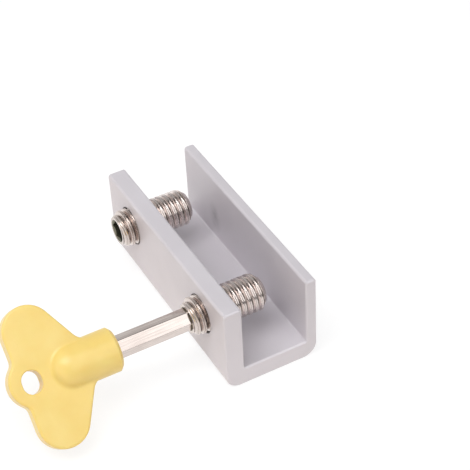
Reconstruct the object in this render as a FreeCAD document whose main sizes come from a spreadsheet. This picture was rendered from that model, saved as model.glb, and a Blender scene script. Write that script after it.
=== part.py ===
import FreeCAD, Part
import os
from math import asin, atan2, cos, degrees, hypot, pi, radians, sin
import Sketcher

# Sliding window lock: a U-channel that sits over a window track, two grub screws through its thick
# wall and a winged hex key in the front screw. X runs along the channel, Y across it from the thick
# wall (-Y) to the thin wall (+Y), Z up. The origin is the middle of the channel's outer bottom face.

# Driving dimensions in millimetres and degrees, one spreadsheet cell each.
DIMENSIONS = {
    # Channel
    "channelLength": 50.0,
    "channelWidth": 20.0,
    "channelHeight": 19.5,
    "screwWall": 3.9,
    "jawWall": 2.3,
    "floorThickness": 4.1,
    "bottomRadius": 3.0,
    "topEdgeRadius": 0.6,
    "slotCornerRadius": 0.4,
    "channelEndChamfer": 0.25,
    # Grub screws and their holes
    "screwSpacing": 30.5,
    "screwHeight": 12.6,
    "screwDiameter": 7.7,
    "screwLength": 16.0,
    "screwEndChamfer": 0.75,
    "tipFlatDiameter": 5.4,
    "tipLength": 1.25,
    "holeClearance": 0.08,
    "holeChamfer": 0.12,
    "socketDepth": 5.6,
    "socketClearance": 0.04,
    "frontProtrusion": 2.95,
    "rearProtrusion": 3.2,
    "rearTurn": 57.0,
    # Key
    "keyAcrossFlats": 4.0,
    "keyTurn": 45.0,
    "keyInsertion": 4.7,
    "keyVisibleShank": 15.15,
    "keyShankEmbed": 10.0,
    "shankChamfer": 0.3,
    "headThickness": 4.0,
    "headEdgeRadius": 0.5,
    "wingOffset": 8.9,
    "wingSetback": 14.4,
    "wingRadius": 4.95,
    "notchSetback": 4.2,
    "notchRadius": 3.0,
    "notchInset": 0.5,
    "neckRadius": 2.0,
    "ringLobeSetback": 16.5,
    "ringLobeRadius": 5.05,
    "ringHoleSetback": 17.2,
    "ringHoleWidth": 4.5,
    "ringHoleHeight": 3.8,
    "ringHoleBevel": 0.15,
    "collarDiameter": 8.8,
    "collarLength": 9.3,
    "collarEndBevel": 0.6,
    "collarBlendRadius": 0.8,
}

# Sketcher's numbers for the origin and the two sketch axes, and for the points of a curve
ORIGIN = -1
H_AXIS = -1
V_AXIS = -2
START, END, CENTRE = range(1, 4)
TOLERANCE = 1e-4
HEX_SIDES = 6

doc = FreeCAD.newDocument("SlidingWindowLock")
sheet = doc.addObject("Spreadsheet::Sheet", "Sizes")
for row, (alias, size) in enumerate(DIMENSIONS.items(), start=1):
    sheet.set(f"A{row}", alias)
    sheet.set(f"B{row}", str(size))
    sheet.setAlias(f"B{row}", alias)
doc.recompute()


def value(expression):
    """The present number behind an expression in the sheet's names."""
    return float(sheet.evalExpression(expression))


def new_body(label):
    body = doc.addObject("PartDesign::Body", label.title().replace("_", ""))
    body.Label = label
    return body


def new_sketch(body, name, role):
    """A sketch of the body on one of its own origin planes."""
    plane = next(item for item in body.Origin.OriginFeatures if item.Role == role)
    sketch = body.newObject("Sketcher::SketchObject", name)
    sketch.AttachmentSupport = (plane, [""])
    sketch.MapMode = "FlatFace"
    return sketch


def point(x, y):
    return FreeCAD.Vector(x, y, 0)


def add_line(sketch, start, end):
    return sketch.addGeometry(Part.LineSegment(point(*start), point(*end)))


def add_arc(sketch, centre, radius, first, last):
    """A counter-clockwise arc between two directions in degrees."""
    circle = Part.Circle(point(*centre), FreeCAD.Vector(0, 0, 1), radius)
    return sketch.addGeometry(Part.ArcOfCircle(circle, radians(first), radians(last)))


def constrain(sketch, kind, *references):
    sketch.addConstraint(Sketcher.Constraint(kind, *references))


def drive(sketch, name, expression, kind, *references):
    """A dimension of the sketch that follows the sheet."""
    index = sketch.addConstraint(Sketcher.Constraint(kind, *references, value(expression)))
    sketch.renameConstraint(index, name)
    sketch.setExpression("Constraints." + name, expression)


def add_polygon(sketch, corners):
    """A closed chain of lines, with its level and upright sides held so."""
    sides = []
    for start, end in zip(corners, corners[1:] + corners[:1]):
        side = add_line(sketch, start, end)
        if abs(start[1] - end[1]) < TOLERANCE:
            constrain(sketch, "Horizontal", side)
        elif abs(start[0] - end[0]) < TOLERANCE:
            constrain(sketch, "Vertical", side)
        sides.append(side)
    for side, following in zip(sides, sides[1:] + sides[:1]):
        constrain(sketch, "Coincident", side, END, following, START)
    return sides


def add_feature(body, kind, name, sketch, sizes):
    """A feature made from a sketch, with its sizes bound to the sheet."""
    feature = body.newObject("PartDesign::" + kind, name)
    feature.Profile = sketch
    for size, expression in sizes.items():
        feature.setExpression(size, expression)
    return feature


def cut(body, name, sketch, reverse, depth=None, both_ways=False):
    """A pocket, through everything on its side or to a depth, that has to remove material."""
    before = body.Tip.Shape.Volume
    pocket = body.newObject("PartDesign::Pocket", name)
    pocket.Profile = sketch
    pocket.Type = "Length" if depth else "ThroughAll"
    pocket.Reversed = reverse
    pocket.SideType = "Symmetric" if both_ways else "One side"
    if depth:
        pocket.setExpression("Length", depth)
    doc.recompute()
    if pocket.Shape.Volume > before - TOLERANCE:
        raise RuntimeError(name + " removes nothing")
    return pocket


def soften(body, kind, name, size, expression, wanted):
    """A fillet or chamfer on the edges of the body's tip that the test picks out."""
    base = body.Tip
    names = [f"Edge{i}" for i, edge in enumerate(base.Shape.Edges, start=1) if wanted(edge)]
    if not names:
        raise RuntimeError(name + " finds no edge")
    feature = body.newObject("PartDesign::" + kind, name)
    feature.Base = (base, names)
    feature.setExpression(size, expression)
    doc.recompute()
    return feature


def middle(edge):
    return edge.valueAt((edge.FirstParameter + edge.LastParameter) / 2)


def near(first, second):
    return abs(first - second) < TOLERANCE


def place(body, x, y, z, turn=None):
    """The body's position, and its turn about the screw axis, from the sheet."""
    if turn:
        rotation = FreeCAD.Rotation(FreeCAD.Vector(0, 1, 0), value(turn))
        body.Placement = FreeCAD.Placement(FreeCAD.Vector(), rotation)
        body.setExpression("Placement.Rotation.Angle", turn)
    for axis, expression in zip("xyz", (x, y, z)):
        body.setExpression("Placement.Base." + axis, expression)


def hexagon(body, name, across):
    """A hexagon about the body's Y axis with two flats facing along Z."""
    sketch = new_sketch(body, name, "XZ_Plane")
    reach = value(across) / 2 / cos(pi / HEX_SIDES)
    angles = [2 * pi * step / HEX_SIDES for step in range(HEX_SIDES)]
    corners = [(reach * cos(angle), reach * sin(angle)) for angle in angles]
    sides = [add_line(sketch, *ends) for ends in zip(corners, corners[1:] + corners[:1])]
    rim = sketch.addGeometry(Part.Circle(point(0, 0), FreeCAD.Vector(0, 0, 1), reach), True)
    constrain(sketch, "Coincident", rim, CENTRE, ORIGIN, START)
    for side, following in zip(sides, sides[1:] + sides[:1]):
        constrain(sketch, "Coincident", side, END, following, START)
        constrain(sketch, "PointOnObject", side, START, rim)
    for side in sides[1:]:
        constrain(sketch, "Equal", sides[0], side)
    upper, lower = sides[1], sides[4]
    constrain(sketch, "Horizontal", upper)
    drive(sketch, "across", across, "DistanceY", lower, START, upper, END)
    return sketch


def build_channel():
    """The extruded U-section with its rounded long edges and the two screw holes."""
    body = new_body("channel")
    half = value("Sizes.channelWidth / 2")
    top = value("Sizes.channelHeight")
    floor = value("Sizes.floorThickness")
    slot_near = value("Sizes.screwWall") - half
    slot_far = half - value("Sizes.jawWall")
    section = new_sketch(body, "ChannelSection", "YZ_Plane")
    bottom, outer_far, top_far, inner_far, slot_floor, inner_near, top_near, outer_near = add_polygon(section, [
        (-half, 0), (half, 0), (half, top), (slot_far, top),
        (slot_far, floor), (slot_near, floor), (slot_near, top), (-half, top)])
    constrain(section, "PointOnObject", bottom, START, H_AXIS)
    constrain(section, "Equal", outer_far, outer_near)
    drive(section, "width", "Sizes.channelWidth", "DistanceX", bottom, START, bottom, END)
    drive(section, "nearEdge", "Sizes.channelWidth / 2", "DistanceX", bottom, START, ORIGIN, START)
    drive(section, "height", "Sizes.channelHeight", "DistanceY", outer_far, START, outer_far, END)
    drive(section, "thinWall", "Sizes.jawWall", "DistanceX", top_far, END, top_far, START)
    drive(section, "thickWall", "Sizes.screwWall", "DistanceX", top_near, END, top_near, START)
    drive(section, "floor", "Sizes.floorThickness", "DistanceY", bottom, START, slot_floor, END)
    bar = add_feature(body, "Pad", "ChannelBar", section, {"Length": "Sizes.channelLength"})
    bar.SideType = "Symmetric"
    doc.recompute()

    def lengthwise(edge, y, z):
        spot = middle(edge)
        return near(abs(spot.x), 0) and near(spot.z, z) and any(near(spot.y, item) for item in y)

    soften(body, "Fillet", "BottomRounding", "Radius", "Sizes.bottomRadius",
           lambda edge: lengthwise(edge, (-half, half), 0))
    soften(body, "Fillet", "SlotCorners", "Radius", "Sizes.slotCornerRadius",
           lambda edge: lengthwise(edge, (slot_near, slot_far), floor))
    soften(body, "Fillet", "TopRounding", "Radius", "min(Sizes.topEdgeRadius; 0.45 * Sizes.jawWall)",
           lambda edge: lengthwise(edge, (-half, slot_near, slot_far, half), top))
    reach = value("Sizes.channelLength / 2")
    soften(body, "Chamfer", "EndDeburring", "Size", "Sizes.channelEndChamfer",
           lambda edge: near(abs(middle(edge).x), reach))

    holes = new_sketch(body, "ScrewHoles", "XZ_Plane")
    height = value("Sizes.screwHeight")
    radius = value("Sizes.screwDiameter / 2 + Sizes.holeClearance")
    offset = value("Sizes.screwSpacing / 2")
    front, rear = [holes.addGeometry(Part.Circle(point(x, height), FreeCAD.Vector(0, 0, 1), radius))
                   for x in (offset, -offset)]
    constrain(holes, "Equal", front, rear)
    constrain(holes, "Symmetric", rear, CENTRE, front, CENTRE, V_AXIS)
    drive(holes, "spacing", "Sizes.screwSpacing", "DistanceX", rear, CENTRE, front, CENTRE)
    drive(holes, "height", "Sizes.screwHeight", "DistanceY", ORIGIN, START, front, CENTRE)
    drive(holes, "bore", "Sizes.screwDiameter / 2 + Sizes.holeClearance", "Radius", front)
    cut(body, "TappedHoles", holes, reverse=True)
    soften(body, "Chamfer", "HoleMouths", "Size", "Sizes.holeChamfer",
           lambda edge: isinstance(edge.Curve, Part.Circle) and near(edge.Curve.Radius, radius)
           and near(middle(edge).y, -half))
    return body


def build_screw(label, x, protrusion, turn):
    """A hex-socket grub screw: its socket end looks along -Y, its flat tip along +Y."""
    body = new_body(label)
    radius = value("Sizes.screwDiameter / 2")
    chamfer = value("Sizes.screwEndChamfer")
    length = value("Sizes.screwLength")
    flat = value("Sizes.tipFlatDiameter / 2")
    cone = value("Sizes.tipLength")
    profile = new_sketch(body, "ScrewProfile", "XY_Plane")
    face, bevel, barrel, point_cone, tip, axis = add_polygon(profile, [
        (0, 0), (radius - chamfer, 0), (radius, chamfer), (radius, length - cone), (flat, length), (0, length)])
    constrain(profile, "Coincident", face, START, ORIGIN, START)
    drive(profile, "radius", "Sizes.screwDiameter / 2", "DistanceX", ORIGIN, START, barrel, START)
    drive(profile, "bevelWidth", "Sizes.screwEndChamfer", "DistanceX", bevel, START, bevel, END)
    drive(profile, "bevelDepth", "Sizes.screwEndChamfer", "DistanceY", bevel, START, bevel, END)
    drive(profile, "tipFlat", "Sizes.tipFlatDiameter / 2", "DistanceX", tip, END, tip, START)
    drive(profile, "tipLength", "Sizes.tipLength", "DistanceY", point_cone, START, point_cone, END)
    drive(profile, "length", "Sizes.screwLength", "DistanceY", axis, END, axis, START)
    turned = body.newObject("PartDesign::Revolution", "ScrewBlank")
    turned.Profile = profile
    turned.ReferenceAxis = (profile, ["V_Axis"])
    turned.Angle = 360
    doc.recompute()
    socket = hexagon(body, "SocketHexagon", "Sizes.keyAcrossFlats + 2 * Sizes.socketClearance")
    cut(body, "Socket", socket, reverse=False, depth="Sizes.socketDepth")
    place(body, x, f"-Sizes.channelWidth / 2 - Sizes.{protrusion}", "Sizes.screwHeight", turn)
    return body


def build_key_shank():
    """The key's hex bar, from inside the front screw's socket to inside the head."""
    body = new_body("key_shank")
    section = hexagon(body, "BarHexagon", "Sizes.keyAcrossFlats")
    length = "Sizes.keyInsertion + Sizes.keyVisibleShank + Sizes.keyShankEmbed"
    add_feature(body, "Pad", "Bar", section, {"Length": length})
    doc.recompute()
    ends = (0, -value(length))
    soften(body, "Chamfer", "BarEnds", "Size", "Sizes.shankChamfer",
           lambda edge: any(near(middle(edge).y, end) for end in ends))
    place(body, "Sizes.screwSpacing / 2",
          "-Sizes.channelWidth / 2 - Sizes.frontProtrusion + Sizes.keyInsertion",
          "Sizes.screwHeight", "Sizes.keyTurn")
    return body


def sketch_head_outline(body):
    """Two wings with straight front edges that sweep up along the collar, a level back edge and the ring
    lobe between necks."""
    sketch = new_sketch(body, "HeadOutline", "XY_Plane")
    wing_x, wing_y = value("Sizes.wingOffset"), -value("Sizes.wingSetback")
    wing_r = value("Sizes.wingRadius")
    notch_r, notch_y = value("Sizes.notchRadius"), -value("Sizes.notchSetback")
    reach = value("Sizes.collarDiameter / 2 - Sizes.notchInset")
    notch_x = reach + notch_r
    ring_y, ring_r = -value("Sizes.ringLobeSetback"), value("Sizes.ringLobeRadius")
    neck_r = value("Sizes.neckRadius")
    back = wing_y - wing_r
    neck_y = back - neck_r
    neck_x = ((ring_r + neck_r) ** 2 - (neck_y - ring_y) ** 2) ** 0.5
    lobe_angle = degrees(atan2(ring_y - neck_y, neck_x))
    across, down = wing_x - notch_x, wing_y - notch_y
    slope = atan2(down, across) + asin((wing_r + notch_r) / hypot(across, down))
    touch_x, touch_y = wing_x - wing_r * sin(slope), wing_y + wing_r * cos(slope)
    leave_x, leave_y = notch_x + notch_r * sin(slope), notch_y - notch_r * cos(slope)
    wing_angle = 90 + degrees(slope)

    bridge = add_line(sketch, (-reach, notch_y), (reach, notch_y))
    notch_right = add_arc(sketch, (notch_x, notch_y), notch_r, 180, 180 + wing_angle)
    front_right = add_line(sketch, (leave_x, leave_y), (touch_x, touch_y))
    wing_right = add_arc(sketch, (wing_x, wing_y), wing_r, -90, wing_angle)
    back_right = add_line(sketch, (wing_x, back), (neck_x, back))
    neck_right = add_arc(sketch, (neck_x, neck_y), neck_r, 90, 180 - lobe_angle)
    ring = add_arc(sketch, (0, ring_y), ring_r, 180 + lobe_angle, 360 - lobe_angle)
    neck_left = add_arc(sketch, (-neck_x, neck_y), neck_r, lobe_angle, 90)
    back_left = add_line(sketch, (-neck_x, back), (-wing_x, back))
    wing_left = add_arc(sketch, (-wing_x, wing_y), wing_r, 180 - wing_angle, 270)
    front_left = add_line(sketch, (-touch_x, touch_y), (-leave_x, leave_y))
    notch_left = add_arc(sketch, (-notch_x, notch_y), notch_r, -wing_angle, 0)

    constrain(sketch, "Horizontal", back_right)
    constrain(sketch, "Horizontal", back_left)
    constrain(sketch, "Symmetric", bridge, START, bridge, END, V_AXIS)
    for notch, notch_end, bridge_end in ((notch_right, START, END), (notch_left, END, START)):
        constrain(sketch, "Coincident", notch, notch_end, bridge, bridge_end)
        constrain(sketch, "PointOnObject", notch, CENTRE, bridge)
    constrain(sketch, "PointOnObject", ring, CENTRE, V_AXIS)
    for first, first_end, second, second_end in (
            (notch_right, END, front_right, START),
            (front_right, END, wing_right, END), (wing_right, START, back_right, START),
            (back_right, END, neck_right, START), (neck_right, END, ring, END),
            (ring, START, neck_left, START), (neck_left, END, back_left, START),
            (back_left, END, wing_left, END), (wing_left, START, front_left, START),
            (front_left, END, notch_left, START)):
        constrain(sketch, "Tangent", first, first_end, second, second_end)
    constrain(sketch, "Equal", wing_right, wing_left)
    constrain(sketch, "Equal", neck_right, neck_left)
    constrain(sketch, "Equal", notch_right, notch_left)
    drive(sketch, "wingRadius", "Sizes.wingRadius", "Radius", wing_right)
    drive(sketch, "neckRadius", "Sizes.neckRadius", "Radius", neck_right)
    drive(sketch, "ringRadius", "Sizes.ringLobeRadius", "Radius", ring)
    drive(sketch, "notchRadius", "Sizes.notchRadius", "Radius", notch_right)
    drive(sketch, "notchSetback", "Sizes.notchSetback", "DistanceY", bridge, END, ORIGIN, START)
    drive(sketch, "bridgeReach", "Sizes.collarDiameter / 2 - Sizes.notchInset",
          "DistanceX", ORIGIN, START, bridge, END)
    drive(sketch, "ringSetback", "Sizes.ringLobeSetback", "DistanceY", ring, CENTRE, ORIGIN, START)
    drive(sketch, "rightOffset", "Sizes.wingOffset", "DistanceX", ORIGIN, START, wing_right, CENTRE)
    drive(sketch, "leftOffset", "Sizes.wingOffset", "DistanceX", wing_left, CENTRE, ORIGIN, START)
    drive(sketch, "rightSetback", "Sizes.wingSetback", "DistanceY", wing_right, CENTRE, ORIGIN, START)
    drive(sketch, "leftSetback", "Sizes.wingSetback", "DistanceY", wing_left, CENTRE, ORIGIN, START)
    return sketch


def sketch_ring_hole(body, setback):
    """The oval for a key ring, longer across the wings than along the bar."""
    sketch = new_sketch(body, "RingHole", "XY_Plane")
    radius = value("Sizes.ringHoleHeight / 2")
    offset = value("Sizes.ringHoleWidth / 2") - radius
    right = add_arc(sketch, (offset, -setback), radius, -90, 90)
    upper = add_line(sketch, (offset, radius - setback), (-offset, radius - setback))
    left = add_arc(sketch, (-offset, -setback), radius, 90, 270)
    lower = add_line(sketch, (-offset, -radius - setback), (offset, -radius - setback))
    for side, following in ((right, upper), (upper, left), (left, lower), (lower, right)):
        constrain(sketch, "Tangent", side, END, following, START)
    constrain(sketch, "Equal", right, left)
    constrain(sketch, "Symmetric", left, CENTRE, right, CENTRE, V_AXIS)
    drive(sketch, "setback", "Sizes.ringHoleSetback", "DistanceY", right, CENTRE, ORIGIN, START)
    drive(sketch, "holeRadius", "Sizes.ringHoleHeight / 2", "Radius", right)
    drive(sketch, "spread", "Sizes.ringHoleWidth - Sizes.ringHoleHeight", "DistanceX", left, CENTRE, right, CENTRE)
    return sketch


def sketch_collar(body):
    """Half section of the collar: bevelled at its face, domed where it runs out on the plate."""
    sketch = new_sketch(body, "CollarProfile", "XY_Plane")
    radius = value("Sizes.collarDiameter / 2")
    length = value("Sizes.collarLength")
    rim = value("Sizes.collarEndBevel")
    face = add_line(sketch, (0, 0), (radius - rim, 0))
    bevel = add_line(sketch, (radius - rim, 0), (radius, -rim))
    side = add_line(sketch, (radius, -rim), (radius, -length))
    dome = add_arc(sketch, (0, -length), radius, -90, 0)
    axis = add_line(sketch, (0, -length - radius), (0, 0))
    constrain(sketch, "Horizontal", face)
    constrain(sketch, "Vertical", side)
    constrain(sketch, "Vertical", axis)
    constrain(sketch, "Coincident", face, START, ORIGIN, START)
    constrain(sketch, "Coincident", face, END, bevel, START)
    constrain(sketch, "Coincident", bevel, END, side, START)
    constrain(sketch, "Coincident", axis, END, face, START)
    constrain(sketch, "Coincident", dome, START, axis, START)
    constrain(sketch, "PointOnObject", dome, CENTRE, V_AXIS)
    constrain(sketch, "Tangent", side, END, dome, END)
    drive(sketch, "collarRadius", "Sizes.collarDiameter / 2", "Radius", dome)
    drive(sketch, "bevelWidth", "Sizes.collarEndBevel", "DistanceX", bevel, START, bevel, END)
    drive(sketch, "bevelDepth", "Sizes.collarEndBevel", "DistanceY", bevel, END, bevel, START)
    drive(sketch, "collarLength", "Sizes.collarLength", "DistanceY", dome, CENTRE, ORIGIN, START)
    return sketch


def build_key_head():
    """The moulded head: a rounded plate with wings and ring hole, and the collar round the bar."""
    body = new_body("key_head")
    plate = add_feature(body, "Pad", "Plate", sketch_head_outline(body), {"Length": "Sizes.headThickness"})
    plate.SideType = "Symmetric"
    doc.recompute()
    half = value("Sizes.headThickness / 2")
    soften(body, "Fillet", "PlateRounding", "Radius", "min(Sizes.headEdgeRadius; 0.45 * Sizes.headThickness)",
           lambda edge: near(abs(middle(edge).z), half))

    setback = value("Sizes.ringHoleSetback")
    cut(body, "RingHoleCut", sketch_ring_hole(body, setback), reverse=False, both_ways=True)
    hole_reach = value("Sizes.ringHoleWidth / 2") + TOLERANCE
    soften(body, "Chamfer", "RingHoleMouths", "Size", "Sizes.ringHoleBevel",
           lambda edge: near(abs(middle(edge).z), half)
           and hypot(middle(edge).x, middle(edge).y + setback) < hole_reach)

    profile = sketch_collar(body)
    collar = body.newObject("PartDesign::Revolution", "Collar")
    collar.Profile = profile
    collar.ReferenceAxis = (profile, ["V_Axis"])
    collar.Angle = 360
    doc.recompute()

    barrel = value("Sizes.collarDiameter / 2")
    rim = value("Sizes.collarEndBevel")

    def on_collar(face):
        return near(getattr(face.Surface, "Radius", 0), barrel)

    def at_plate(edge):
        sides = [on_collar(face) for face in collar.Shape.ancestorsOfType(edge, Part.Face)]
        return sides.count(True) == 1 and middle(edge).y < -rim - TOLERANCE

    soften(body, "Fillet", "CollarBlend", "Radius", "Sizes.collarBlendRadius", at_plate)

    seat = hexagon(body, "BarSeatHexagon", "Sizes.keyAcrossFlats")
    cut(body, "BarSeat", seat, reverse=True, depth="Sizes.keyShankEmbed")
    place(body, "Sizes.screwSpacing / 2",
          "-Sizes.channelWidth / 2 - Sizes.frontProtrusion - Sizes.keyVisibleShank",
          "Sizes.screwHeight", "Sizes.keyTurn")
    return body


pieces = [
    build_channel(),
    build_screw("front_screw", "Sizes.screwSpacing / 2", "frontProtrusion", "Sizes.keyTurn"),
    build_screw("rear_screw", "-Sizes.screwSpacing / 2", "rearProtrusion", "Sizes.rearTurn"),
    build_key_shank(),
    build_key_head(),
]
doc.recompute()

for item in doc.Objects:
    if "Invalid" in item.State or "Error" in item.State:
        raise RuntimeError(item.Name + " failed to recompute")
for piece in pieces:
    if piece.Shape.isNull() or not piece.Shape.isValid():
        raise RuntimeError(piece.Label + " has no valid shape")

os.makedirs("parts", exist_ok=True)
for piece in pieces:
    piece.Shape.exportStep(os.path.join("parts", piece.Label + ".step"))
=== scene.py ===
from math import pi, radians

import bmesh
import bpy
import numpy as np
from mathutils import Matrix, Vector


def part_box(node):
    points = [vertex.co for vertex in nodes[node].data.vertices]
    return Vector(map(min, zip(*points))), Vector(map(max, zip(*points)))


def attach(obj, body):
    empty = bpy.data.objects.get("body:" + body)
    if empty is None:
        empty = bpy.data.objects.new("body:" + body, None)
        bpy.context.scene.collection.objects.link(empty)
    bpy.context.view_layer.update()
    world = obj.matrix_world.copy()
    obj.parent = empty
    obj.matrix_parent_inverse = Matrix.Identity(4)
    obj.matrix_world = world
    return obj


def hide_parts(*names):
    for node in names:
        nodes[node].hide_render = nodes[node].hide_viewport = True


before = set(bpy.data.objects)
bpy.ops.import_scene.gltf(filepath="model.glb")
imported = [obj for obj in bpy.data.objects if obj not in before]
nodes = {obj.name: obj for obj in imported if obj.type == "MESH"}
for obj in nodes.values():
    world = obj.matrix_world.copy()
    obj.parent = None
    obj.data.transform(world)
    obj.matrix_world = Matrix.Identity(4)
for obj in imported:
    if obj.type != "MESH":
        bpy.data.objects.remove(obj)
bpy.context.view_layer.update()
scene = bpy.context.scene
mm = 0.001
meshSettings = {"weldDistance": 2e-7, "sharpAngle": 35}    # metres, and degrees between two faces
cloudSpan = (0.3, 0.7)                                     # most values of a cloud texture lie in here
print("frame loaded:", ", ".join(sorted(nodes)))


# screen colour of 0 to 255 as the linear colour that a shader takes
def screenColour(red, green, blue):
    share = np.array([red, green, blue]) / 255
    linear = np.where(share <= 0.04045, share / 12.92, ((share + 0.055) / 1.055) ** 2.4)
    return (*linear.tolist(), 1.0)


def metres(values):
    return [value * mm for value in values]


# a shader node; each socket is linked where it gets another node's output, and set where it gets a value
def addNode(tree, kind, sockets=None, **settings):
    node = tree.nodes.new("ShaderNode" + kind)
    for key, value in settings.items():
        setattr(node, key, value)
    for key, value in (sockets or {}).items():
        if isinstance(value, bpy.types.NodeSocket):
            tree.links.new(value, node.inputs[key])
        else:
            node.inputs[key].default_value = value
    return node


def newFinish(name, **sockets):
    finish = bpy.data.materials.new(name)
    finish.use_nodes = True
    tree = finish.node_tree
    shader = tree.nodes["Principled BSDF"]
    for key, value in sockets.items():
        shader.inputs[key.replace("_", " ")].default_value = value
    place = addNode(tree, "TexCoord").outputs["Object"]
    return finish, tree, shader, place


# cloudy values round 0.5; size is the width of one cloud in millimetres
def clouds(tree, place, size, detail=2.0, rough=0.5):
    sockets = {"Vector": place, "Scale": 1 / (size * mm), "Detail": detail, "Roughness": rough}
    return addNode(tree, "TexNoise", sockets).outputs[0]


# the same clouds drawn out along one direction, for lines left by drawing or extruding
def drawnLines(tree, place, stretch, size, detail=2.0):
    pulled = addNode(tree, "Mapping", {"Vector": place, "Scale": stretch}).outputs["Vector"]
    return clouds(tree, pulled, size, detail)


def ramp(tree, factor, stops):
    node = addNode(tree, "ValToRGB", {"Fac": factor})
    marks = node.color_ramp.elements
    for mark, (spot, colour) in zip((marks[0], marks[1]), (stops[0], stops[-1])):
        mark.position, mark.color = spot, colour
    for spot, colour in stops[1:-1]:
        marks.new(spot).color = colour
    return node.outputs["Color"]


# a ramp whose stops name the tones of a look
def toneRamp(tree, factor, look, stops):
    return ramp(tree, factor, [(spot, screenColour(*look[tone])) for spot, tone in stops])


def mapRange(tree, value, fromSpan, toSpan):
    sockets = {
        "Value": value,
        "From Min": fromSpan[0], "From Max": fromSpan[1],
        "To Min": toSpan[0], "To Max": toSpan[1],
    }
    return addNode(tree, "MapRange", sockets).outputs["Result"]


def combine(tree, operation, first, second):
    return addNode(tree, "Math", {0: first, 1: second}, operation=operation).outputs["Value"]


def combineVectors(tree, operation, *vectors, output="Vector"):
    return addNode(tree, "VectorMath", dict(enumerate(vectors)), operation=operation).outputs[output]


def roughen(tree, shader, height, look):
    sockets = {"Height": height, "Strength": look["bumpStrength"], "Distance": look["bumpDepth"] * mm}
    tree.links.new(addNode(tree, "Bump", sockets).outputs["Normal"], shader.inputs["Normal"])


# A grid of points, rows by columns, as one closed mesh: each cell is a quad, and what lies on one spot
# is merged.
def gridMesh(name, points, values=None):
    rows, columns = points.shape[:2]
    corner = np.arange(rows * columns).reshape(rows, columns)
    quads = np.stack([corner[:-1, :-1], corner[:-1, 1:], corner[1:, 1:], corner[1:, :-1]], axis=-1)
    mesh = bpy.data.meshes.new(name)
    mesh.from_pydata(points.reshape(-1, 3).tolist(), [], quads.reshape(-1, 4).tolist())
    for key, array in (values or {}).items():
        attribute = mesh.attributes.new(key, "FLOAT", "POINT")
        attribute.data.foreach_set("value", array.ravel().astype(np.float32))
    welded = bmesh.new()
    welded.from_mesh(mesh)
    bmesh.ops.remove_doubles(welded, verts=welded.verts, dist=meshSettings["weldDistance"])
    welded.to_mesh(mesh)
    welded.free()
    mesh.shade_smooth()
    mesh.set_sharp_from_angle(angle=radians(meshSettings["sharpAngle"]))
    piece = bpy.data.objects.new(name, mesh)
    scene.collection.objects.link(piece)
    return piece


# channel: extruded aluminium, blasted and anodised silver
channelLook = {
    "metallic": 0.25,
    "pale": (215, 211, 216),
    "deep": (209, 205, 210),
    "patchSize": 16,
    "patchStops": [(0.35, "deep"), (0.65, "pale")],
    "darkPatch": (150, 147, 151),
    "darkPatchCentre": (-12.2, 7.7, 9.2),    # centre of a darker patch on the inner face of the jaw wall, behind the rear screw
    "darkPatchReach": (2.6, 1.0, 4.2),
    "darkPatchGrain": 1.6,
    "boreAxis": (15.25, 0, 12.6),         # the tapped holes, one each way along the channel
    "boreEdges": (4.20, 4.06),            # radii between which the bare thread of a hole comes up, painted dark as shade in the gap round the screw
    "boreWall": (-5.2, -5.8),             # only in the screw wall
    # painted shade of the gap round each screw: darker at the thread's roots, less dark at its crests
    "boreRootShade": (96, 91, 88),
    "boreCrestShade": (168, 163, 160),
    "borePitch": 1.25,
    "boreShadeStops": [(0.45, "boreRootShade"), (0.80, "boreCrestShade")],
    "grainSize": 0.19,
    "lineStretch": (0.03, 1.0, 1.0),
    "lineSize": 0.35,
    "lineShare": 0.25,
    "roughness": (0.40, 0.52),
    "bumpStrength": 0.35,
    "bumpDepth": 0.02,
}


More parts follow.
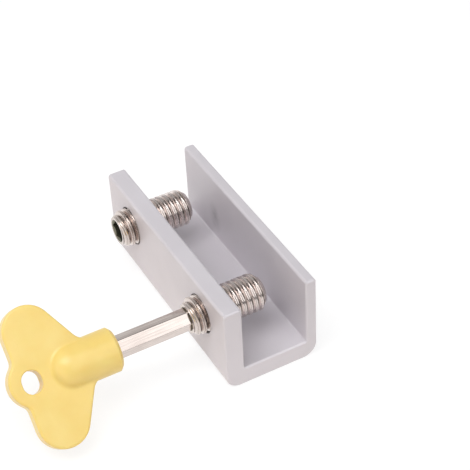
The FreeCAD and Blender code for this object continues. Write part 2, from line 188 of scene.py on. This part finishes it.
def blastedAluminium(look):
    finish, tree, shader, place = newFinish("blastedAluminium", Metallic=look["metallic"])
    base = toneRamp(tree, clouds(tree, place, look["patchSize"], detail=3), look, look["patchStops"])
    # a darker patch on the inner face of the jaw wall, darkest at its centre and broken up by clouds
    spot = addNode(tree, "Mapping", {
        "Vector": place,
        "Location": metres(look["darkPatchCentre"]),
        "Scale": metres(look["darkPatchReach"]),
    }, vector_type="TEXTURE").outputs["Vector"]
    halo = addNode(tree, "TexGradient", {"Vector": spot}, gradient_type="SPHERICAL").outputs[1]
    darkPatchWeight = combine(tree, "MULTIPLY", halo, clouds(tree, place, look["darkPatchGrain"], detail=3))
    withDarkPatch = addNode(tree, "MixRGB", {
        "Fac": darkPatchWeight, "Color1": base, "Color2": screenColour(*look["darkPatch"]),
    }).outputs["Color"]
    # distance from the nearer hole's axis, which runs along Y, and place along that axis
    aside = combineVectors(tree, "ABSOLUTE", place)
    aside = combineVectors(tree, "SUBTRACT", aside, metres(look["boreAxis"]))
    aside = combineVectors(tree, "MULTIPLY", aside, (1, 0, 1))
    aside = combineVectors(tree, "LENGTH", aside, output="Value")
    along = addNode(tree, "SeparateXYZ", {"Vector": place}).outputs["Y"]
    # painted shade: the bore and a thin ring round it in the screw wall turn dark, in bands at the thread's
    # pitch that stand for lit crests and shaded roots
    boreShadeMask = combine(
        tree, "MULTIPLY",
        mapRange(tree, aside, metres(look["boreEdges"]), (0.0, 1.0)),
        mapRange(tree, along, metres(look["boreWall"]), (0.0, 1.0)))
    halfPitch = look["borePitch"] / 2 * mm
    shadeRings = mapRange(tree, combine(tree, "PINGPONG", along, halfPitch), (0.0, halfPitch), (0.0, 1.0))
    shadeRings = toneRamp(tree, shadeRings, look, look["boreShadeStops"])
    colour = addNode(tree, "MixRGB", {"Fac": boreShadeMask, "Color1": withDarkPatch, "Color2": shadeRings}).outputs["Color"]
    tree.links.new(colour, shader.inputs["Base Color"])
    grain = clouds(tree, place, look["grainSize"], rough=0.6)
    lines = drawnLines(tree, place, look["lineStretch"], look["lineSize"])
    tree.links.new(mapRange(tree, grain, cloudSpan, look["roughness"]), shader.inputs["Roughness"])
    relief = combine(tree, "ADD", grain, combine(tree, "MULTIPLY", lines, look["lineShare"]))
    roughen(tree, shader, relief, look)
    return finish


nodes["channel"].data.materials.clear()
nodes["channel"].data.materials.append(blastedAluminium(channelLook))
print("channel finished")


# clamp screws: socket grub screws with a rolled thread
screwTurns = {    # each screw's node, and its turn about its axis in degrees
    "threadedFrontScrew": ("front_screw", 45),
    "threadedRearScrew": ("rear_screw", 57),
}
screwForm = {
    "pitch": 1.25,
    "crestRadius": 3.85,
    "threadDepth": 0.64,
    "crestShare": 0.40,            # share of half a pitch that is flat at the crest, and at the root
    "rootShare": 0.06,
    "easing": 0.25,                # 0 keeps the flanks straight, 1 rounds them fully into crest and root
    "seamDepth": 0.13,             # the fold that thread rolling leaves along the crest
    "seamWidth": 0.10,
    "endBevel": 0.90,
    "bevelLength": 1.4,
    "tipRadius": 2.7,
    "tipLength": 1.25,
    "socketHalfFlats": 2.04,
    "socketDepth": 5.6,
    "drillPoint": 0.7,
    "mouthRadius": 2.42,
    "rimSharpness": 0.05,          # over this width the dark mouth turns into the bright rim
    "rootGroove": 0.7,             # the groove value of a root or seam, and of the socket
    "socketGroove": 1.0,
    "outerEndShadeReach": (3.4, 4.4),    # depths from the outer end between which its painted shade fades out
    "columns": 120,
    "rowsPerPitch": 40,
}
screwLook = {
    "crest": (224, 215, 210),
    "flankHighlight": (239, 230, 226),
    "rootShade": (104, 96, 91),
    "socketShade": (140, 140, 126),
    # painted reflection and shade on the thread: flanks lighter than the crest; roots, the rolling seam and
    # the socket darker
    "grooveStops": [(0.06, "crest"), (0.20, "flankHighlight"), (0.56, "flankHighlight"), (0.72, "rootShade"), (0.90, "socketShade")],
    "outerEndShade": (236, 233, 230),    # painted shade that darkens the outer end, times the tones above
    "stainSize": 0.8,
    "stainShare": 0.3,
    "roughness": (0.15, 0.45),
    "grainSize": 0.25,
    "bumpStrength": 0.10,
    "bumpDepth": 0.01,
}


# Columns turn evenly round the axis. Rows run from the socket's bottom out over the end face and along
# the thread to the tip. A socket row reaches to the hexagon, halfFlats over the cosine of the angle from
# the nearest flat. A thread row climbs one pitch a turn. Its radius is the crest's, less the thread form
# at its phase, and both grow from the rim over the bevel of the outer end. The cone of the tip cuts it off.
def threadedScrew(name, node, turn, form):
    low, high = (np.array(corner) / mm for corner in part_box(node))
    centre, length = (low + high) / 2, high[1] - low[1]
    sweep = np.linspace(0, 2 * pi, form["columns"] + 1)
    even = np.ones_like(sweep)
    hexagon = form["socketHalfFlats"] / np.cos((sweep + pi / 6) % (pi / 3) - pi / 6)
    mouth = form["mouthRadius"] - hexagon    # depth at which the 45 degree mouth meets the hexagon
    rise = form["pitch"] / form["rowsPerPitch"]
    steps = np.arange(int((length + form["pitch"]) / rise) + 2)[:, None]
    climb = np.clip(steps * rise + form["pitch"] * (sweep / (2 * pi) - 1), 0, length)
    phase = (climb / form["pitch"] - sweep / (2 * pi)) % 1
    aside = np.abs(2 * phase - 1)            # 0 in the middle of the crest, 1 in the middle of the root
    fall = np.clip((aside - form["crestShare"]) / (1 - form["crestShare"] - form["rootShare"]), 0, 1)
    fall = (1 - form["easing"]) * fall + form["easing"] * fall * fall * (3 - 2 * fall)
    seam = np.exp(-(aside / form["seamWidth"]) ** 2)
    thread = form["threadDepth"] * fall + form["seamDepth"] * seam
    grown = np.clip(climb / form["bevelLength"], 0, 1)
    body = form["crestRadius"] - form["endBevel"] + form["endBevel"] * grown
    tipSlope = (form["crestRadius"] - form["tipRadius"]) / form["tipLength"]
    cone = form["tipRadius"] + (length - climb) * tipSlope
    radius = np.minimum(body - thread * np.sqrt(grown), cone)
    socketRows = [
        (0 * even, (form["socketDepth"] + form["drillPoint"]) * even),
        (hexagon, form["socketDepth"] * even),
        (hexagon, (form["socketDepth"] + mouth) / 2),
        (hexagon, mouth),
        (form["mouthRadius"] * even, 0 * even),
    ]
    rimRow = ((form["mouthRadius"] + form["rimSharpness"]) * even, 0 * even)
    tipRows = [(form["tipRadius"] * even, length * even), (0 * even, length * even)]
    rows = socketRows + [rimRow, (radius, climb)] + tipRows
    reach, depth = (np.vstack([row[part] for row in rows]) for part in (0, 1))
    # the groove value marks where the finish paints shade: in the socket, and in the roots and seam of the
    # thread
    groove = np.zeros_like(reach)
    groove[:len(socketRows)] = form["socketGroove"]
    groove[len(socketRows) + 1:-len(tipRows)] = form["rootGroove"] * np.maximum(fall, seam)
    near, far = form["outerEndShadeReach"]
    outerEndShade = np.clip((far - depth) / (far - near), 0, 1)
    points = np.stack([
        centre[0] + reach * np.sin(sweep + turn),
        low[1] + depth,
        centre[2] + reach * np.cos(sweep + turn),
    ], axis=-1) * mm
    return gridMesh(name, points, {"groove": groove, "outerEndShade": outerEndShade})


def rolledSteel(look):
    finish, tree, shader, place = newFinish("rolledSteel", Metallic=1.0)
    groove = addNode(tree, "Attribute", attribute_name="groove").outputs["Fac"]
    stain = combine(tree, "SUBTRACT", clouds(tree, place, look["stainSize"], detail=3), 0.5)
    toneMix = combine(tree, "ADD", groove, combine(tree, "MULTIPLY", stain, look["stainShare"]))
    # painted light and shade from the groove value, with lighter flanks and darker roots, seam and socket,
    # plus a random stain
    colour = toneRamp(tree, toneMix, look, look["grooveStops"])
    # painted shade: the outer end is darkened, times its tones
    outerEndShade = addNode(tree, "Attribute", attribute_name="outerEndShade").outputs["Fac"]
    shadedEnd = addNode(tree, "MixRGB", {
        "Fac": outerEndShade, "Color1": colour, "Color2": screenColour(*look["outerEndShade"]),
    }, blend_type="MULTIPLY")
    tree.links.new(shadedEnd.outputs["Color"], shader.inputs["Base Color"])
    tree.links.new(mapRange(tree, toneMix, (0.0, 1.0), look["roughness"]), shader.inputs["Roughness"])
    roughen(tree, shader, clouds(tree, place, look["grainSize"], detail=3), look)
    return finish


steel = rolledSteel(screwLook)
for piece, (node, turn) in screwTurns.items():
    screw = threadedScrew(piece, node, radians(turn), screwForm)
    screw.data.materials.append(steel)
    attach(screw, node)
    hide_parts(node)
    print(piece, len(screw.data.polygons), "faces")


# key shank: drawn hexagon bar, bright plated
barForm = {
    "halfFlats": 2.0,
    "edgeRadius": 0.22,
    "endBevel": 0.3,
    "turn": 45,
    "arcSteps": 6,
}
barLook = {
    "bright": (219, 208, 202),
    "dull": (199, 187, 181),
    "wornStops": [(0.35, "dull"), (0.62, "bright")],
    "lineStretch": (1.0, 0.02, 1.0),
    "lineSize": 0.16,
    "lineShare": 0.6,
    "hazeSize": 5,
    "hazeShare": 0.4,
    "roughness": (0.20, 0.10),
    "bumpStrength": 0.12,
    "bumpDepth": 0.008,
}


# A hexagon with rounded edges, carried along the axis: each edge is an arc about a point of a smaller
# hexagon, and the flats are the runs between the arcs. Both ends draw in by the bevel and close on
# the axis.
def hexagonBar(name, node, form):
    low, high = (np.array(corner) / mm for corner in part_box(node))
    centre, length = (low + high) / 2, high[1] - low[1]
    inner = (form["halfFlats"] - form["edgeRadius"]) / np.cos(pi / 6)
    edge = radians(form["turn"]) + pi / 6 + np.arange(6)[:, None] * pi / 3
    arc = edge + np.linspace(-pi / 6, pi / 6, form["arcSteps"])
    across = (inner * np.sin(edge) + form["edgeRadius"] * np.sin(arc)).ravel()
    upward = (inner * np.cos(edge) + form["edgeRadius"] * np.cos(arc)).ravel()
    across, upward = (np.append(run, run[0]) for run in (across, upward))
    drawnIn = 1 - form["endBevel"] / form["halfFlats"]
    share = np.array([0, drawnIn, 1, 1, drawnIn, 0])[:, None]
    along = np.array([0, 0, form["endBevel"], length - form["endBevel"], length, length])[:, None]
    points = np.stack([
        centre[0] + share * across,
        low[1] + along + 0 * across,
        centre[2] + share * upward,
    ], axis=-1) * mm
    return gridMesh(name, points)


def brightPlate(look):
    finish, tree, shader, place = newFinish("brightPlate", Metallic=1.0)
    lines = drawnLines(tree, place, look["lineStretch"], look["lineSize"], detail=3)
    haze = clouds(tree, place, look["hazeSize"], detail=3)
    toneMix = combine(
        tree, "ADD",
        combine(tree, "MULTIPLY", lines, look["lineShare"]),
        combine(tree, "MULTIPLY", haze, look["hazeShare"]))
    tree.links.new(toneRamp(tree, toneMix, look, look["wornStops"]), shader.inputs["Base Color"])
    tree.links.new(mapRange(tree, toneMix, cloudSpan, look["roughness"]), shader.inputs["Roughness"])
    roughen(tree, shader, lines, look)
    return finish


bar = hexagonBar("hexagonShank", "key_shank", barForm)
bar.data.materials.append(brightPlate(barLook))
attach(bar, "key")
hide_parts("key_shank")
print("hexagonShank", len(bar.data.polygons), "faces")


# key head: moulded yellow plastic
headLook = {
    "pale": (237, 212, 129),
    "deep": (234, 205, 117),
    "patchSize": 7,
    "patchStops": [(0.35, "deep"), (0.65, "pale")],
    "scatterWeight": 0.16,
    "scatterDepth": 1.2,
    "scatterRadius": (1.0, 0.55, 0.2),
    "peelSize": 0.7,
    "matteSize": 0.11,
    "matteShare": 0.3,
    "roughness": (0.27, 0.37),
    "bumpStrength": 0.2,
    "bumpDepth": 0.02,
}


def mouldedYellow(look):
    finish, tree, shader, place = newFinish(
        "mouldedYellow", Subsurface_Weight=look["scatterWeight"],
        Subsurface_Scale=look["scatterDepth"] * mm, Subsurface_Radius=look["scatterRadius"])
    patches = clouds(tree, place, look["patchSize"], detail=3)
    tree.links.new(toneRamp(tree, patches, look, look["patchStops"]), shader.inputs["Base Color"])
    peel = clouds(tree, place, look["peelSize"])
    matte = clouds(tree, place, look["matteSize"])
    tree.links.new(mapRange(tree, matte, cloudSpan, look["roughness"]), shader.inputs["Roughness"])
    relief = combine(tree, "ADD", peel, combine(tree, "MULTIPLY", matte, look["matteShare"]))
    roughen(tree, shader, relief, look)
    return finish


nodes["key_head"].data.materials.clear()
nodes["key_head"].data.materials.append(mouldedYellow(headLook))
print("key head finished")


# floor, light and camera
stageLook = {
    "floorRadius": 3.0,
    "floorSides": 64,
    "floorDrop": 0.05,
    "floorTint": (0.94, 0.86, 0.79),
    "glow": 0.80,
    "shade": 0.24,
}


# A disc, radius times the sine and cosine of the turn. Camera, mirror and glass rays see it as white paper
# that keeps a soft shadow. All other light meets a pale matt floor.
def paperFloor(look):
    turns = np.linspace(0, 2 * pi, look["floorSides"] + 1)
    share = np.array([[0.0], [1.0]])
    points = np.stack([
        share * look["floorRadius"] * np.sin(turns),
        share * look["floorRadius"] * np.cos(turns),
        0 * share * turns - look["floorDrop"] * mm,
    ], axis=-1)
    floor = gridMesh("paperFloor", points[::-1])
    paper = bpy.data.materials.new("whitePaper")
    paper.use_nodes = True
    tree = paper.node_tree
    tree.nodes.remove(tree.nodes["Principled BSDF"])
    rays = addNode(tree, "LightPath").outputs
    seen = combine(tree, "ADD", rays["Is Camera Ray"], rays["Is Glossy Ray"])
    seen = combine(tree, "MINIMUM", combine(tree, "ADD", seen, rays["Is Transmission Ray"]), 1.0)
    matt = addNode(tree, "BsdfDiffuse", {"Color": (*look["floorTint"], 1)})
    glow = addNode(tree, "Emission", {"Color": (*[look["glow"]] * 3, 1), "Strength": 1.0})
    shade = addNode(tree, "BsdfDiffuse", {"Color": (*[look["shade"]] * 3, 1)})
    both = addNode(tree, "AddShader", {0: glow.outputs[0], 1: shade.outputs[0]})
    mixed = addNode(tree, "MixShader", {0: seen, 1: matt.outputs[0], 2: both.outputs[0]})
    tree.links.new(mixed.outputs[0], tree.nodes["Material Output"].inputs["Surface"])
    floor.data.materials.append(paper)


paperFloor(stageLook)

skyLook = {
    "byHeight": [(0.0, 0.70), (0.25, 0.80), (0.45, 0.48), (1.0, 0.50)],    # upward share, level
    "softboxTowards": (0.65, 0.342, 0.678),
    "frameEdges": (0.35, 0.50),    # cosines to that direction between which the dark frame comes up
    "frameShare": 0.16,
    "softboxEdges": (0.855, 0.885),
    "softboxLevel": 1.5,
}


# a plain room by height, and in it one large softbox with a dark frame, which the bright metal mirrors
def studioSky(look):
    sky = bpy.data.worlds.new("studioSky")
    sky.use_nodes = True
    tree = sky.node_tree
    direction = addNode(tree, "TexCoord").outputs["Generated"]
    height = addNode(tree, "SeparateXYZ", {"Vector": direction}).outputs["Z"]
    room = ramp(tree, height, [(spot, (level, level, level, 1)) for spot, level in look["byHeight"]])
    facing = combineVectors(tree, "DOT_PRODUCT", direction, look["softboxTowards"], output="Value")
    dimming = mapRange(tree, facing, look["frameEdges"], (1.0, look["frameShare"]))
    softbox = mapRange(tree, facing, look["softboxEdges"], (0.0, look["softboxLevel"]))
    light = combine(tree, "ADD", combine(tree, "MULTIPLY", room, dimming), softbox)
    tree.links.new(light, tree.nodes["Background"].inputs["Color"])
    scene.world = sky


studioSky(skyLook)

lampSettings = {
    "keySoftbox": {"place": (0.05, -0.28, 0.50), "size": 0.35, "power": 0.63, "tint": (1.0, 0.965, 0.935)},
    "topSoftbox": {"place": (0.06, -0.09, 0.36), "size": 0.22, "power": 0.58, "tint": (0.985, 0.985, 1.0)},
    "domeSpark": {"place": (0.046, -0.289, 0.444), "size": 0.08, "power": 0.13, "tint": (1.0, 1.0, 1.0)},
    "lowFill": {"place": (-0.05, -0.50, 0.16), "size": 0.35, "power": 0.17, "tint": (1.0, 0.76, 0.60)},
}
lampTarget = Vector((0, -0.01, 0.01))
for name, setting in lampSettings.items():
    lamp = bpy.data.lights.new(name, "AREA")
    lamp.size, lamp.energy, lamp.color = setting["size"], setting["power"], setting["tint"]
    holder = bpy.data.objects.new(name, lamp)
    holder.location = setting["place"]
    holder.rotation_euler = (lampTarget - holder.location).to_track_quat("-Z", "Y").to_euler()
    scene.collection.objects.link(holder)

cameraSetting = {
    "place": (0.202082, -0.095882, 0.20774),
    "aim": (-0.004174, 0.008115, 0.010),
    "roll": -3.242,
    "lens": 113.27,
    "nearClip": 0.01,
}
lens = bpy.data.cameras.new("photoCamera")
lens.lens, lens.clip_start = cameraSetting["lens"], cameraSetting["nearClip"]
camera = bpy.data.objects.new("photoCamera", lens)
place, aim = Vector(cameraSetting["place"]), Vector(cameraSetting["aim"])
gaze = (aim - place).to_track_quat("-Z", "Y").to_matrix().to_4x4()
roll = Matrix.Rotation(radians(cameraSetting["roll"]), 4, "Z")
camera.matrix_world = Matrix.Translation(place) @ gaze @ roll
scene.collection.objects.link(camera)
scene.camera = camera
scene.view_settings.view_transform = "Standard"
print("floor, light and camera set")
